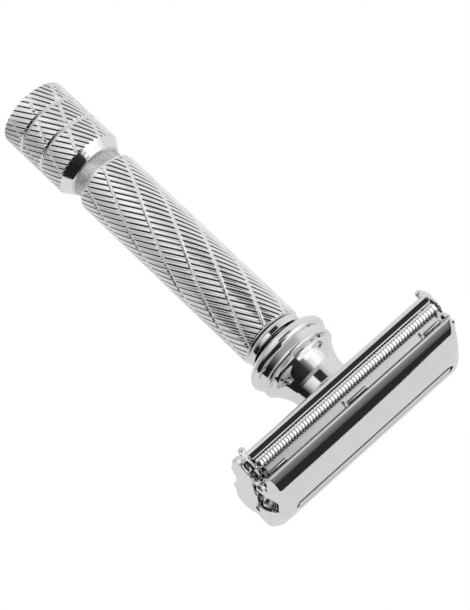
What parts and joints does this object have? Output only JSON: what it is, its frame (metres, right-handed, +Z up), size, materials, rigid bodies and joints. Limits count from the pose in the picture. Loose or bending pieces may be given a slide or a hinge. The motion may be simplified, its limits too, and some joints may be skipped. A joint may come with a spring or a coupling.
{
  "type": "double-edge safety razor",
  "caption": "Twist-to-open double-edge safety razor: knurled handle, turning end knob, beaded neck and a head whose two arched doors swing open over a ribbed guard.",
  "frame": {"origin": "centre of the knob's bottom face, on which the razor stands", "axes": "+Z up the handle to the head, X along the head's length, -Y towards the front cutting edge"},
  "size_m": [0.0452, 0.0248, 0.0895],
  "materials": {
    "polished_chrome": "mirror-bright chrome plate on brass",
    "chromed_pressing": "bright chrome plate on pressed brass",
    "turned_brass": "plain turned",
    "stainless_steel": "plain drawn wire and rivets"
  },
  "bodies": {
    "handle": {"handle_barrel": "polished_chrome", "neck_ring": "polished_chrome", "neck_collar": "polished_chrome", "guide_bush": "turned_brass", "retaining_bush": "turned_brass", "wave_washer": "stainless_steel", "guard_plate": "polished_chrome", "collar_nut": "turned_brass", "safety_bar_front": "polished_chrome", "safety_bar_rear": "polished_chrome", "blade_rail_front": "chromed_pressing", "blade_rail_rear": "chromed_pressing", "rail_rivet_front_left": "stainless_steel", "rail_rivet_front_right": "stainless_steel", "rail_rivet_rear_left": "stainless_steel", "rail_rivet_rear_right": "stainless_steel"},
    "knob": {"knob_grip": "polished_chrome", "knob_end_plug": "polished_chrome", "knob_screw": "stainless_steel", "drive_sleeve": "turned_brass"},
    "carriage": {"lift_rod": "turned_brass", "crossbar": "chromed_pressing", "hinge_bracket_left": "chromed_pressing", "hinge_bracket_right": "chromed_pressing", "end_cap_left": "polished_chrome", "end_cap_right": "polished_chrome", "end_rivet_left": "stainless_steel", "end_rivet_right": "stainless_steel", "hinge_pin_front_left": "stainless_steel", "hinge_pin_front_right": "stainless_steel", "hinge_pin_rear_left": "stainless_steel", "hinge_pin_rear_right": "stainless_steel"},
    "front_door": {"door_front": "polished_chrome"},
    "rear_door": {"door_rear": "polished_chrome"}
  },
  "joints": [
    {"name": "knob_twist", "type": "hinge", "parent": "handle", "child": "knob", "pos_m": [0, 0, 0], "axis": [0, 0, 1], "range_deg": [0, 720]},
    {"name": "carriage_lift", "type": "slide", "parent": "handle", "child": "carriage", "axis": [0, 0, 1], "range_m": [0, 0.0055]},
    {"name": "door_front_hinge", "type": "hinge", "parent": "carriage", "child": "front_door", "pos_m": [0, -0.0074, 0.0849], "axis": [1, 0, 0], "range_deg": [0, 72]},
    {"name": "door_rear_hinge", "type": "hinge", "parent": "carriage", "child": "rear_door", "pos_m": [0, 0.0074, 0.0849], "axis": [-1, 0, 0], "range_deg": [0, 72]}
  ],
  "couplings": [
    {"joint": "carriage_lift", "follows": "knob_twist", "m_per_rad": 0.00043768},
    {"joint": "door_front_hinge", "follows": "knob_twist", "ratio": 0.1},
    {"joint": "door_rear_hinge", "follows": "knob_twist", "ratio": 0.1}
  ]
}
